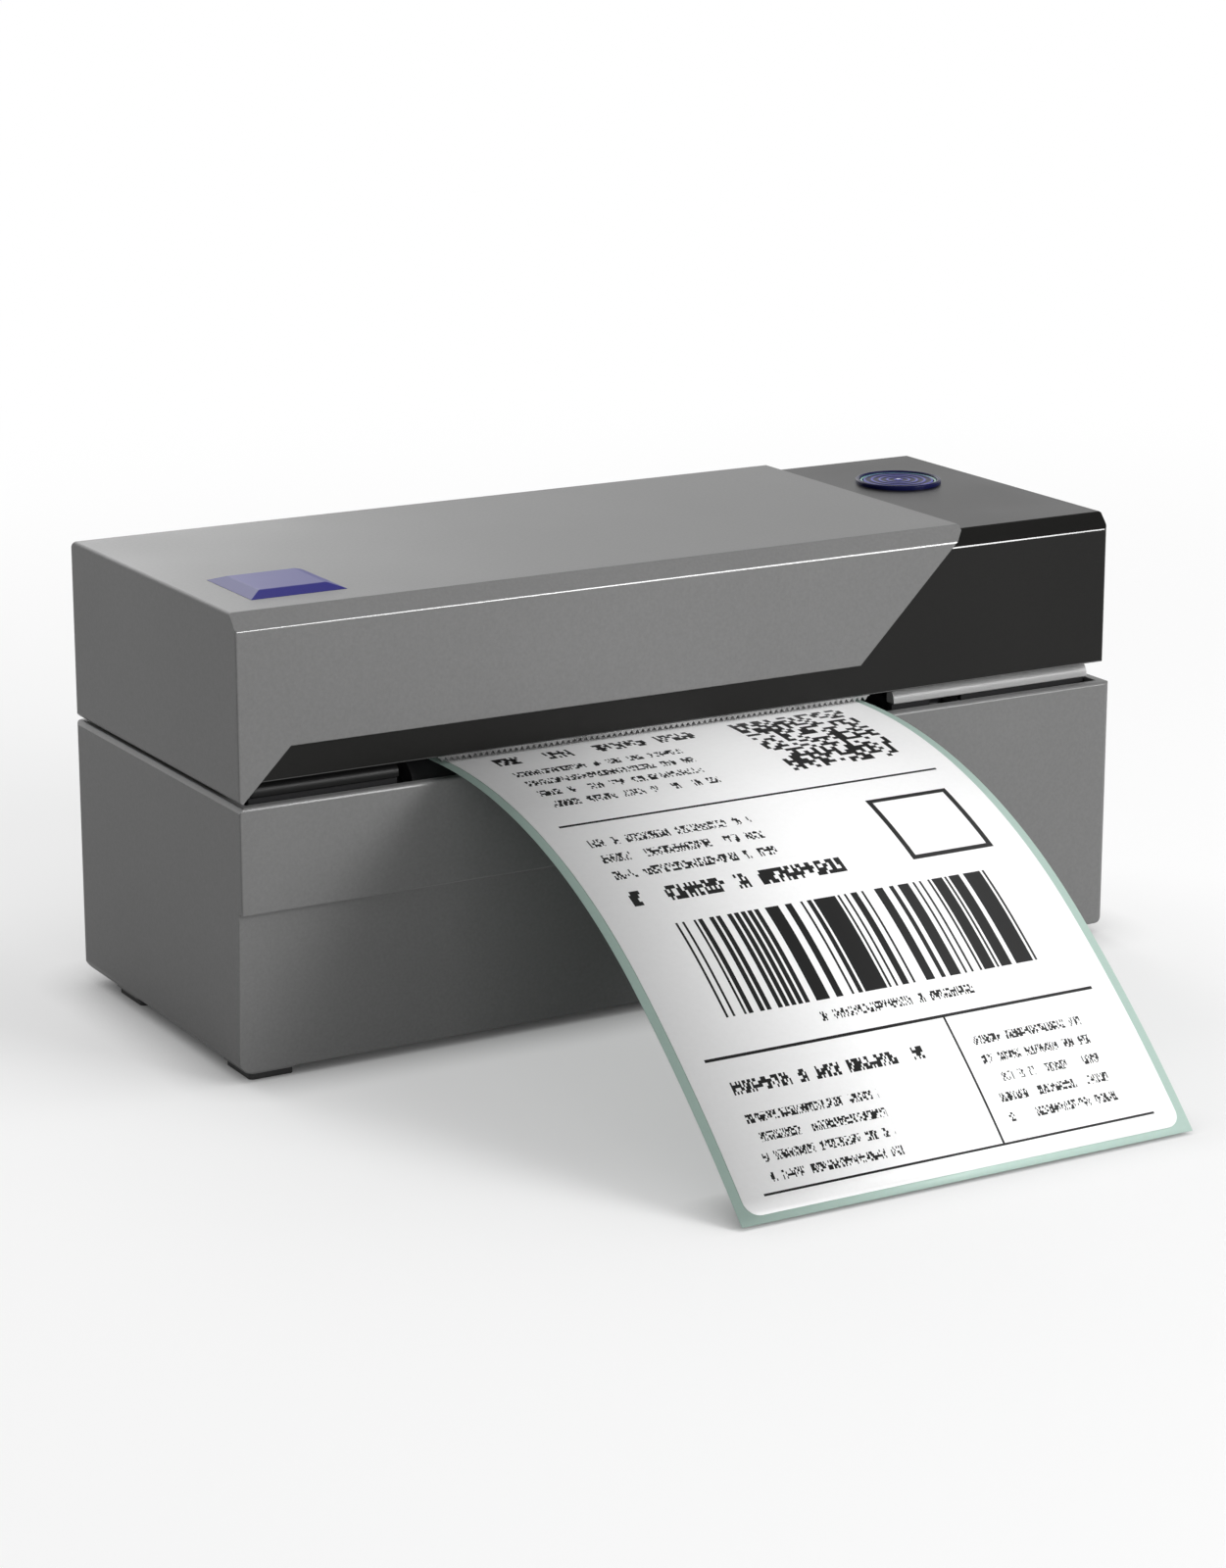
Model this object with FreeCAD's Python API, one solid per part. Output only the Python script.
import FreeCAD, Part
import math
import os

# Desktop thermal label printer, in millimetres.
# X runs to the right, Y to the back and Z up; the origin lies on the desk under the middle of the casing.

V = FreeCAD.Vector
os.makedirs("parts", exist_ok=True)

# Casing
WIDTH = 218.0
DEPTH = 86.0
WALL = 2.4
FLOOR = 2.4
FOOT_HEIGHT = 1.6
FOOT_LENGTH = 12.0
FOOT_WIDTH = 10.0
FOOT_CORNER = 1.0
FOOT_EDGE = 3.0
FRONT_FOOT_INSET = 10.7
REAR_FOOT_INSET = 19.2
FOOT_PAD_HEIGHT = 0.7
FOOT_PAD_BORDER = 0.8
BASE_HEIGHT = 57.5
SEAM_GAP = 0.6
SEAM_CHAMFER = 1.0
RIM_CHAMFER = 0.4
BACK_BOTTOM_RADIUS = 5.5
SIDE_BOTTOM_RADIUS = 2.8
BACK_CORNER_RADIUS = 2.0
FRONT_RIGHT_RADIUS = 1.6
FRONT_LEFT_RADIUS = 0.4

# Recess in the lower left of the base's front
STEP_RISE = 34.9
STEP_DEPTH = 1.7
STEP_LEAN = 1.2
STEP_END_X = 22.0

# Lid
LID_HEIGHT = 39.6
COVER_WALL = 1.4
FRAME_WALL = 2.2
CAP_INSET = 1.1
FRONT_CHAMFER_DEPTH = 3.0
FRONT_CHAMFER_DROP = 3.4
BACK_CHAMFER_DEPTH = 3.0
BACK_CHAMFER_DROP = 2.6
CAP_WIDTH = 41.0
CAP_CHAMFER_DEPTH = 3.0
CAP_CHAMFER_DROP = 3.4
CAP_FRONT_RADIUS = 1.0
NOTCH_RISE = 11.2
NOTCH_RUN = 27.2
NOTCH_TIP_INSET = 0.6
BAND_RISE = 4.0
FINGER_GAP_INSET = 23.0
FRAME_SKIRT_RISE = 0.5
INLET_SIDE_MARGIN = 12.65
INLET_RISE = 7.6
INNER_COVER_DROP = 16.4
INNER_COVER_THICKNESS = 2.0
INNER_COVER_MARGIN = 0.8

# Hinges
HINGE_INSET = 21.0
LUG_RADIUS = 2.4
LUG_GAP = 0.4
LID_LUG_LENGTH = 7.0
BASE_LUG_LENGTH = 5.0
LUG_ROOT = 9.0
HINGE_PIN_RADIUS = 1.0
RUNNING_CLEARANCE = 0.05
SEAT_CLEARANCE = 0.02

# Badge and button
BADGE_SIZE = 22.0
BADGE_HEIGHT = 1.2
BADGE_BEVEL = 3.4
BADGE_SIDE_INSET = 19.8
BADGE_FRONT_INSET = 22.3
BUTTON_SIDE_INSET = 21.8
BUTTON_BACK_INSET = 30.4
BEZEL_RADIUS = 10.0
BEZEL_WALL = 1.0
BEZEL_HEIGHT = 1.0
BEZEL_ROUNDING = 0.35
LIGHT_RING_WALL = 0.6
LIGHT_RING_RISE = 0.6
LIGHT_RING_DEPTH = 3.3
BUTTON_GAP = 0.2
BUTTON_RISE = 0.7
BUTTON_THICKNESS = 2.7
BUTTON_GROOVES = (7.1, 5.3, 3.5)
BUTTON_GROOVE_WIDTH = 0.45
BUTTON_GROOVE_DEPTH = 0.3
BUTTON_DOT_RADIUS = 0.9
BUTTON_DOT_HEIGHT = 0.15
BUTTON_TRAVEL = 0.8
BUTTON_STEM_RADIUS = 2.0
PLUNGER_RADIUS = 1.7
PLUNGER_LENGTH = 3.1
STEM_LENGTH = 3.6
SWITCH_SIZE = 6.2
SWITCH_HEIGHT = 3.5
BUTTON_BOARD_DROP = 10.4
BUTTON_BOARD_HALF = 11.0
BOARD_THICKNESS = 1.6
BUTTON_POST_OFFSET = 8.3
BUTTON_POST_RADIUS = 2.2

# Label: one sheet of four by six inch label on its liner
LABEL_CENTRE_X = -9.35
LABEL_WIDTH = 101.6
LABEL_LENGTH = 152.4
LABEL_CORNER_RADIUS = 3.2
LINER_SIDE_MARGIN = 2.05
LINER_END_MARGIN = 1.6
SHEET_THICKNESS = 0.15
ADHESIVE_GAP = 0.02
PATH_GAP = 0.15
LABEL_EXIT_INSET = 2.4
FIRST_BEND_RADIUS = 135.0
FIRST_BEND_ANGLE = 36.5
SECOND_BEND_RADIUS = 324.0
SECOND_BEND_ANGLE = 9.5

# Platen
PLATEN_RADIUS = 7.5
PLATEN_INSET = 14.0
PLATEN_RISE = 2.6
PLATEN_OVERHANG = 3.75
SHAFT_RADIUS = 3.0
SHAFT_OVERHANG = 1.0
SHAFT_ROOM = 0.8
BUSH_RADIUS = 4.5
BLOCK_WIDTH = 6.0
BLOCK_HALF_DEPTH = 4.8
BLOCK_TOP_OVER_AXIS = 5.7
BLOCK_BOTTOM_UNDER_AXIS = 6.2
LEFT_BLOCK_GAP = 5.0
RIGHT_BLOCK_GAP = 7.0

# Gear train
MODULE = 0.7
PLATEN_TEETH = 16
REDUCTION_SMALL_TEETH = 14
REDUCTION_LARGE_TEETH = 36
PINION_TEETH = 14
PRESSURE_ANGLE = math.radians(20)
ADDENDUM = 0.8
DEDENDUM = 1.15
BACKLASH = 0.16
REDUCTION_BEARING = math.radians(-65)
MOTOR_BEARING = math.radians(-70)
GEAR_FACE = 4.0
LARGE_GEAR_FACE = 3.0
GEAR_SIDE_GAP = 0.4
GEAR_BRACKET_GAP = 1.5
GEAR_BAY_CLEARANCE = 0.6
AXLE_RADIUS = 1.5
AXLE_CLIP_RADIUS = 2.8
AXLE_CLIP_THICKNESS = 0.7
MOTOR_SIZE = 35.2
MOTOR_LENGTH = 22.0
MOTOR_CORNER = 4.0
MOTOR_SHAFT_RADIUS = 2.0
MOTOR_SHAFT_DEPTH = 9.0
MOTOR_SHAFT_END_GAP = 0.5
MOTOR_PILOT_RADIUS = 5.5
MOTOR_HOLE_PITCH = 26.0
BRACKET_THICKNESS = 1.5
BRACKET_GAP = 1.0
BRACKET_MARGIN = 1.0
FLANGE_LENGTH = 16.0
FLANGE_SCREW_OFFSETS = (15.0, 29.0)

# Deck, rails and media table
DECK_DROP = 2.8
DECK_THICKNESS = 2.4
DECK_CLEARANCE = 0.3
RAIL_RISE = 0.2
RAIL_HEIGHT = 3.2
RAIL_DEPTH = 3.0
RAIL_INSET = 5.8
RAIL_ROUNDING = 2.4
RIB_DEPTH = 1.4
LEFT_RAIL_WALL_GAP = 2.6
LEFT_RAIL_LABEL_GAP = 7.8
RIGHT_RAIL_WALL_GAP = 0.2
RIGHT_RAIL_LABEL_GAP = 10.0
TABLE_THICKNESS = 2.0
TABLE_GAP = 0.35
TABLE_SIDE_MARGIN = 7.15
TABLE_PLATEN_GAP = 9.0
TABLE_BACK_INSET = 4.0
TABLE_LEG = 2.4
TROUGH_CLEARANCE = 1.1

# Sliding media guides
GUIDE_TRAVEL = 40.0
GUIDE_SIDE_GAP = 0.8
FENCE_THICKNESS = 2.5
FENCE_FRONT_INSET = 6.0
FENCE_BACK_INSET = 9.0
FENCE_HEIGHT = 4.8
GUIDE_FLANGE_WIDTH = 8.0
GUIDE_FLANGE_THICKNESS = 1.5
GUIDE_FLOAT = 0.15
NECK_LENGTH = 6.0
NECK_WIDTH = 3.0
SLOT_CLEARANCE = 0.4
RACK_MODULE = 1.0
GUIDE_PINION_TEETH = 16
GUIDE_PINION_INSET = 28.0
RACK_BACKING = 3.0
RACK_HEIGHT = 2.2
RACK_TOOTH_ROOT = 0.2
RACK_OVERLAP = 9.0
GUIDE_POST_RADIUS = 2.5
SENSOR_SIZE = (8.0, 7.0)
SENSOR_INSET = 4.5
SENSOR_EYE_RADIUS = 1.2
SENSOR_EYE_DEPTH = 0.6

# Printhead
HEAD_LINE_GAP = 0.1
PRINT_LINE_THICKNESS = 1.25
PRINT_LINE_DEPTH = 10.0
HEAT_SINK_HEIGHT = 5.0
HEAT_SINK_DEPTH = 16.5
HEAT_SINK_FRONT = 7.5
HEAT_SINK_OVERHANG = 0.9
HEAT_SINK_GROOVE = 2.0
HEAD_LIFT = 1.2
HEAD_PIN_RADIUS = 1.5
HEAD_PIN_INSET = 6.0
HEAD_PIN_END_GAP = 0.3
HEAD_SIDE_GAP = 0.6
HEAD_EAR_HEIGHT = 9.0
SPRING_COIL_RADIUS = 2.6
SPRING_WIRE_RADIUS = 0.4
SPRING_TURNS = 4
POINTS_A_TURN = 24
HEAD_SPRING_PITCH = 38.0
BUTTON_SPRING_COIL_RADIUS = 5.4
BUTTON_SPRING_WIRE_RADIUS = 0.35

# Tear bar
TEAR_BAR_THICKNESS = 0.6
TEAR_BAR_SET_BACK = 0.3
TEAR_BAR_HEIGHT = 5.0
TEAR_BAR_DROP = 1.2
TEAR_BAR_OVERHANG = 0.75
TOOTH_PITCH = 1.4
TOOTH_DEPTH = 0.9

# Snap tongues
TONGUE_SIDE_INSET = 19.0
TONGUE_FRONT_INSET = 15.0
TONGUE_WIDTH = 8.0
TONGUE_THICKNESS = 2.0
TONGUE_REACH = 4.0
TONGUE_FOOT_WIDTH = 10.0
TONGUE_FOOT_THICKNESS = 1.6
BEAD_RADIUS = 0.5
TONGUE_CLEARANCE = 1.0

# Board, sockets and power switch
BOARD_LIFT = 3.3
BOARD_SIZE = (122.0, 40.0)
BOARD_LEFT_INSET = 17.0
BOARD_BACK_INSET = 5.0
BOARD_HOLE_INSET = 4.0
BOARD_POST_RADIUS = 3.0
# Chips on the board: place from its front left corner, then width, depth and height
CHIPS = ((72, 16, 14, 14, 1.6), (98, 14, 9, 9, 1.6), (34, 14, 18, 8, 2.4), (12, 10, 6, 12, 5.5),
         (106, 28, 10, 5, 3.0))
CAPACITOR_PLACES = ((14.0, 24.0), (26.0, 24.0))
CAPACITOR_RADIUS = 4.0
CAPACITOR_HEIGHT = 12.0
USB_INSET = 52.0
USB_SIZE = (12.0, 16.0, 11.0)
USB_MOUTH = (8.6, 7.9)
USB_MOUTH_DEPTH = 9.0
JACK_INSET = 22.0
JACK_SIZE = (9.0, 14.0, 11.0)
JACK_BORE_RADIUS = 3.2
JACK_BORE_DEPTH = 9.5
JACK_PIN_RADIUS = 1.0
JACK_PIN_RECESS = 1.0
SOCKET_SET_BACK = 0.5
SOCKET_CLEARANCE = 0.4
SWITCH_X = 20.0
SWITCH_Z = 26.0
SWITCH_BODY = (19.0, 12.8)
SWITCH_BODY_DEPTH = 12.0
SWITCH_FLANGE = (21.0, 15.0)
SWITCH_FLANGE_THICKNESS = 1.6
ROCKER_LENGTH = 12.6
ROCKER_RADIUS = 4.3
ROCKER_CLEARANCE = 0.3
ROCKER_PROUD = 3.0
ROCKER_VALLEY = 2.7
ROCKER_FACE_ANGLE = 9.0

# Screws
SCREW_RADIUS = 1.45
SCREW_HOLE_RADIUS = 1.5
SCREW_HEAD_RADIUS = 2.7
SCREW_HEAD_HEIGHT = 1.5
SCREW_SLOT_REACH = 1.9
SCREW_SLOT_HALF = 0.4
SCREW_LENGTH = 10.0
SMALL_SCREW_LENGTH = 5.0
BOSS_RADIUS = 4.0
DECK_SCREW_SIDE_INSET = 9.0
DECK_SCREW_END_INSET = 11.5
LID_SCREW_SIDE_INSET = 13.0
LID_SCREW_END_INSET = 11.0

# Places worked out from the sizes above
HALF_W = WIDTH / 2
FRONT = -DEPTH / 2
BACK = DEPTH / 2
BOTTOM = FOOT_HEIGHT + FOOT_PAD_HEIGHT
FLOOR_TOP = BOTTOM + FLOOR
BASE_TOP = BOTTOM + BASE_HEIGHT
LID_BOTTOM = BASE_TOP + SEAM_GAP
HEIGHT = LID_BOTTOM + LID_HEIGHT
STEP_Z = BOTTOM + STEP_RISE
NOTCH_Z = LID_BOTTOM + NOTCH_RISE
BAND_Z = LID_BOTTOM + BAND_RISE
INLET_Z = LID_BOTTOM + INLET_RISE
COVER_RIGHT_X = HALF_W - CAP_WIDTH
NOTCH_RIGHT_X = COVER_RIGHT_X - NOTCH_RUN
FINGER_GAP_END_Y = BACK - FINGER_GAP_INSET
HINGE_X = HALF_W - HINGE_INSET
HINGE_Y = BACK
HINGE_Z = (BASE_TOP + LID_BOTTOM) / 2
FRAME_TOP = HEIGHT - COVER_WALL
CEILING = FRAME_TOP - FRAME_WALL
FRAME_LEFT = -HALF_W + COVER_WALL
FRAME_RIGHT = HALF_W - CAP_INSET
FRAME_FRONT = FRONT + COVER_WALL
FRAME_BACK = BACK - COVER_WALL
BADGE_X = -HALF_W + BADGE_SIDE_INSET
BADGE_Y = FRONT + BADGE_FRONT_INSET
BUTTON_X = HALF_W - BUTTON_SIDE_INSET
BUTTON_Y = BACK - BUTTON_BACK_INSET
DECK_TOP = BASE_TOP - DECK_DROP
DECK_BOTTOM = DECK_TOP - DECK_THICKNESS
PATH_Z = BASE_TOP + PLATEN_RISE + PATH_GAP
LABEL_TOP = PATH_Z + 2 * SHEET_THICKNESS + ADHESIVE_GAP
LABEL_EXIT_Y = FRONT + LABEL_EXIT_INSET
PLATEN_Y = FRONT + PLATEN_INSET
PLATEN_Z = PATH_Z - PATH_GAP - PLATEN_RADIUS
LINER_HALF_WIDTH = LABEL_WIDTH / 2 + LINER_SIDE_MARGIN
PLATEN_LEFT = LABEL_CENTRE_X - LINER_HALF_WIDTH - PLATEN_OVERHANG
PLATEN_RIGHT = LABEL_CENTRE_X + LINER_HALF_WIDTH + PLATEN_OVERHANG
LEFT_BLOCK_X = PLATEN_LEFT - LEFT_BLOCK_GAP - BLOCK_WIDTH
RIGHT_BLOCK_X = PLATEN_RIGHT + RIGHT_BLOCK_GAP
BRACKET_X = RIGHT_BLOCK_X + BLOCK_WIDTH + BRACKET_GAP
GEAR_X = BRACKET_X + BRACKET_THICKNESS + GEAR_BRACKET_GAP
LARGE_GEAR_X = GEAR_X + GEAR_FACE + GEAR_SIDE_GAP
GEAR_END_X = LARGE_GEAR_X + LARGE_GEAR_FACE
TABLE_TOP = PATH_Z - TABLE_GAP
TABLE_BOTTOM = TABLE_TOP - TABLE_THICKNESS
TABLE_LEFT = LABEL_CENTRE_X - LINER_HALF_WIDTH - TABLE_SIDE_MARGIN
TABLE_RIGHT = LABEL_CENTRE_X + LINER_HALF_WIDTH + TABLE_SIDE_MARGIN
TABLE_FRONT_Y = PLATEN_Y + TABLE_PLATEN_GAP
TABLE_BACK_Y = BACK - TABLE_BACK_INSET
FENCE_FRONT_Y = TABLE_FRONT_Y + FENCE_FRONT_INSET
FENCE_BACK_Y = TABLE_BACK_Y - FENCE_BACK_INSET
GUIDE_PINION_Y = TABLE_FRONT_Y + GUIDE_PINION_INSET
SENSOR_FRONT_Y = TABLE_FRONT_Y + SENSOR_INSET
RAIL_BOTTOM = BASE_TOP + RAIL_RISE
RAIL_FRONT_Y = FRONT + RAIL_INSET
LEFT_RAIL_X = (-HALF_W + WALL + LEFT_RAIL_WALL_GAP,
               LABEL_CENTRE_X - LINER_HALF_WIDTH - LEFT_RAIL_LABEL_GAP)
RIGHT_RAIL_X = (LABEL_CENTRE_X + LINER_HALF_WIDTH + RIGHT_RAIL_LABEL_GAP,
                HALF_W - WALL - RIGHT_RAIL_WALL_GAP)
TONGUE_X = HALF_W - TONGUE_SIDE_INSET
TONGUE_FRONT_Y = FRONT + TONGUE_FRONT_INSET
TONGUE_BACK_Y = TONGUE_FRONT_Y + TONGUE_WIDTH
HEAD_BOTTOM = LABEL_TOP + HEAD_LINE_GAP
HEAT_SINK_BOTTOM = HEAD_BOTTOM + PRINT_LINE_THICKNESS
HEAT_SINK_TOP = HEAT_SINK_BOTTOM + HEAT_SINK_HEIGHT
INNER_COVER_BOTTOM = CEILING - INNER_COVER_DROP - INNER_COVER_THICKNESS
BRACKET_BOTTOM = INNER_COVER_BOTTOM - BRACKET_THICKNESS
BUTTON_BOARD_Z = CEILING - BUTTON_BOARD_DROP
BOARD_Z = FLOOR_TOP + BOARD_LIFT
BOARD_TOP = BOARD_Z + BOARD_THICKNESS
BOARD_X = (-HALF_W + BOARD_LEFT_INSET, -HALF_W + BOARD_LEFT_INSET + BOARD_SIZE[0])
BOARD_Y = (BACK - BOARD_BACK_INSET - BOARD_SIZE[1], BACK - BOARD_BACK_INSET)
USB_X = BOARD_X[0] + USB_INSET
JACK_X = BOARD_X[0] + JACK_INSET
TOUCH = 1e-6


# Shape helpers

def box(x0, x1, y0, y1, z0, z1):
    return Part.makeBox(x1 - x0, y1 - y0, z1 - z0, V(x0, y0, z0))


def rod_x(radius, x0, x1, y, z):
    return Part.makeCylinder(radius, x1 - x0, V(x0, y, z), V(1, 0, 0))


def rod_y(radius, y0, y1, x, z):
    return Part.makeCylinder(radius, y1 - y0, V(x, y0, z), V(0, 1, 0))


def rod_z(radius, z0, z1, x, y):
    return Part.makeCylinder(radius, z1 - z0, V(x, y, z0))


def fuse(shapes):
    first, *rest = shapes
    return first.multiFuse(rest).removeSplitter()


PLANES = {
    "x": lambda u, v, w: V(w, u, v),
    "y": lambda u, v, w: V(u, w, v),
    "z": lambda u, v, w: V(u, v, w),
}


def corner_cut(corner, toward, length):
    step = math.hypot(toward[0] - corner[0], toward[1] - corner[1])
    share = length / step
    return tuple(c + (t - c) * share for c, t in zip(corner, toward))


def prism(axis, corners, low, high):
    """Prism along an axis through (u, v) or (u, v, radius) corners: y, z for x; x, z for y; x, y for z."""
    place = PLANES[axis]
    edges = []
    ends = []
    count = len(corners)
    for i, corner in enumerate(corners):
        point = corner[:2]
        before = corners[i - 1][:2]
        after = corners[(i + 1) % count][:2]
        radius = corner[2] if len(corner) > 2 else 0.0
        if radius == 0.0:
            ends.append((point, point))
            continue
        towards = [math.atan2(p[1] - point[1], p[0] - point[0]) for p in (before, after)]
        half = abs((towards[1] - towards[0] + math.pi) % (2 * math.pi) - math.pi) / 2
        start = corner_cut(point, before, radius / math.tan(half))
        end = corner_cut(point, after, radius / math.tan(half))
        middle = ((start[0] + end[0]) / 2, (start[1] + end[1]) / 2)
        crown = corner_cut(point, middle, radius / math.sin(half) - radius)
        edges.append(Part.Arc(place(*start, low), place(*crown, low), place(*end, low)).toShape())
        ends.append((start, end))
    for i in range(count):
        start = ends[i - 1][1]
        end = ends[i][0]
        if math.dist(start, end) > TOUCH:
            edges.append(Part.LineSegment(place(*start, low), place(*end, low)).toShape())
    wire = Part.Wire(Part.__sortEdges__(edges))
    return Part.Face(wire).extrude(place(0, 0, high - low))


def inset(points, distance):
    """Convex outline moved inwards by a distance, for points that run anticlockwise."""
    lines = []
    for i, a in enumerate(points):
        b = points[(i + 1) % len(points)]
        length = math.dist(a, b)
        normal = ((a[1] - b[1]) / length, (b[0] - a[0]) / length)
        offset = normal[0] * a[0] + normal[1] * a[1] + distance
        lines.append((normal, offset))
    moved = []
    for i in range(len(points)):
        (n, d), (m, e) = lines[i - 1], lines[i]
        det = n[0] * m[1] - n[1] * m[0]
        moved.append(((d * m[1] - e * n[1]) / det, (n[0] * e - m[0] * d) / det))
    return moved


def gear_outline(teeth, module, phase):
    """Involute outline about the origin, with one tooth centred on the phase angle."""
    pitch_radius = teeth * module / 2
    base_radius = pitch_radius * math.cos(PRESSURE_ANGLE)
    tip_radius = pitch_radius + ADDENDUM * module
    root_radius = pitch_radius - DEDENDUM * module
    pitch_half = math.pi / (2 * teeth) - BACKLASH / (2 * pitch_radius)
    base_half = pitch_half + math.tan(PRESSURE_ANGLE) - PRESSURE_ANGLE

    def half_angle(radius):
        if radius <= base_radius:
            return base_half
        angle = math.acos(base_radius / radius)
        return base_half - math.tan(angle) + angle

    def around(radius, angle):
        return V(radius * math.cos(angle), radius * math.sin(angle), 0)

    start_radius = max(base_radius, root_radius)
    flank = [start_radius, (start_radius + tip_radius) / 2, tip_radius]
    edges = []
    last = None
    first = None
    for tooth in range(teeth):
        middle = phase + 2 * math.pi * tooth / teeth
        rise = [around(r, middle - half_angle(r)) for r in flank]
        fall = [around(r, middle + half_angle(r)) for r in flank]
        foot = rise[0] * (root_radius / start_radius)
        heel = fall[0] * (root_radius / start_radius)
        if last is not None:
            edges.append(Part.LineSegment(last, foot).toShape())
        else:
            first = foot
        if root_radius < start_radius:
            edges.append(Part.LineSegment(foot, rise[0]).toShape())
        edges.append(Part.Arc(*rise).toShape())
        edges.append(Part.LineSegment(rise[2], fall[2]).toShape())
        edges.append(Part.Arc(*reversed(fall)).toShape())
        if root_radius < start_radius:
            edges.append(Part.LineSegment(fall[0], heel).toShape())
        last = heel
    edges.append(Part.LineSegment(last, first).toShape())
    return Part.Face(Part.Wire(edges))


def gear_x(teeth, module, phase, x0, x1, y, z):
    """Spur gear on an axis along X; the phase angle is counted from +Y towards +Z."""
    gear = gear_outline(teeth, module, phase).extrude(V(0, 0, x1 - x0))
    gear.Placement = FreeCAD.Placement(V(x0, y, z), FreeCAD.Rotation(V(1, 1, 1), 120))
    return gear


def half_arc(start, corner, end):
    """Arc from start to end, tangent to the lines that meet at the corner between them."""
    middle = (start + end) * 0.5
    chord = (end - start).Length / 2
    rise = (corner - middle).Length
    crown = middle + (corner - middle) * (chord * math.tan(math.atan2(rise, chord) / 2) / rise)
    return Part.Arc(start, crown, end).toShape()


def least_gap(path, turns, wire_radius):
    """Least gap of a coiled wire to itself, over points that are more than half a turn apart along it."""
    points = path.discretize(Number=turns * POINTS_A_TURN + 1)
    apart = POINTS_A_TURN // 2
    centres = min((a - b).Length for i, a in enumerate(points) for b in points[i + apart:])
    return centres - 2 * wire_radius


def coil(x, y, z0, z1, coil_radius, wire_radius, turns):
    """Round-wire coil spring standing on z0, as one tube along pairs of tangent arcs."""
    steps = turns * 4
    climb = (z1 - z0 - 2 * wire_radius) / steps
    slope = climb / (coil_radius * math.pi / 2)
    points = []
    tangents = []
    for i in range(steps + 1):
        angle = i * math.pi / 2
        along = V(-math.sin(angle), math.cos(angle), slope)
        points.append(V(x + coil_radius * math.cos(angle), y + coil_radius * math.sin(angle),
                        z0 + wire_radius + i * climb))
        tangents.append(along.normalize())
    edges = []
    for i in range(steps):
        a, b, s, t = points[i], points[i + 1], tangents[i], tangents[i + 1]
        gap = b - a
        both = s + t
        spread = 2 * (1 - s.dot(t))
        reach = (-gap.dot(both) + math.sqrt(gap.dot(both) ** 2 + spread * gap.dot(gap))) / spread
        near = a + s * reach
        far = b - t * reach
        joint = (near + far) * 0.5
        edges.append(half_arc(a, near, joint))
        edges.append(half_arc(joint, far, b))
    path = Part.Wire(edges)
    section = Part.Wire(Part.makeCircle(wire_radius, points[0], tangents[0]))
    print("least gap between turns", round(least_gap(path, turns, wire_radius), 2))
    return path.makePipeShell([section], True, False)


def screw(x, y, seat_z, length, up):
    """Pan-head screw with its head on one side of its seat and its shank on the other."""
    way = 1 if up else -1
    head = [seat_z, seat_z - way * SCREW_HEAD_HEIGHT]
    shank = [seat_z, seat_z + way * length]
    outer = head[1]
    solid = fuse([
        rod_z(SCREW_HEAD_RADIUS, min(head), max(head), x, y),
        rod_z(SCREW_RADIUS, min(shank), max(shank), x, y),
    ])
    depth = SCREW_HEAD_HEIGHT / 2
    for half_x, half_y in ((SCREW_SLOT_REACH, SCREW_SLOT_HALF), (SCREW_SLOT_HALF, SCREW_SLOT_REACH)):
        solid = solid.cut(box(x - half_x, x + half_x, y - half_y, y + half_y, outer - depth, outer + depth))
    return solid


def screw_hole(x, y, z0, z1):
    return rod_z(SCREW_HOLE_RADIUS, min(z0, z1), max(z0, z1), x, y)


def mirrored_places(x, y):
    return [(sx * x, sy * y) for sx in (-1, 1) for sy in (-1, 1)]


DECK_SCREWS = mirrored_places(HALF_W - DECK_SCREW_SIDE_INSET, BACK - DECK_SCREW_END_INSET)
LID_SCREWS = mirrored_places(HALF_W - LID_SCREW_SIDE_INSET, BACK - LID_SCREW_END_INSET)
BOARD_SCREWS = [(x, y) for x in (BOARD_X[0] + BOARD_HOLE_INSET, BOARD_X[1] - BOARD_HOLE_INSET)
                for y in (BOARD_Y[0] + BOARD_HOLE_INSET, BOARD_Y[1] - BOARD_HOLE_INSET)]
BUTTON_SCREWS = [(BUTTON_X - BUTTON_POST_OFFSET, BUTTON_Y + BUTTON_POST_OFFSET),
                 (BUTTON_X + BUTTON_POST_OFFSET, BUTTON_Y - BUTTON_POST_OFFSET)]
HEAD_SCREWS = [(LABEL_CENTRE_X + side * HEAD_SPRING_PITCH / 2, PLATEN_Y) for side in (-1, 1)]
BRACKET_SCREWS = [(BRACKET_X - FLANGE_LENGTH / 2, PLATEN_Y + offset) for offset in FLANGE_SCREW_OFFSETS]
FEET = [(side * (HALF_W - FOOT_EDGE - FOOT_WIDTH / 2), y) for side in (-1, 1)
        for y in (FRONT + FRONT_FOOT_INSET, BACK - REAR_FOOT_INSET)]
TONGUES = (-TONGUE_X, TONGUE_X)
HINGES = (-HINGE_X, HINGE_X)


def lid_lug_span(x, extra=0.0):
    return x - LID_LUG_LENGTH / 2 - extra, x + LID_LUG_LENGTH / 2 + extra


def base_lug_spans(x, extra=0.0):
    inner = LID_LUG_LENGTH / 2 + LUG_GAP
    outer = inner + BASE_LUG_LENGTH
    return [(x - outer - extra, x - inner + extra), (x + inner - extra, x + outer + extra)]


# Base casing

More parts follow.
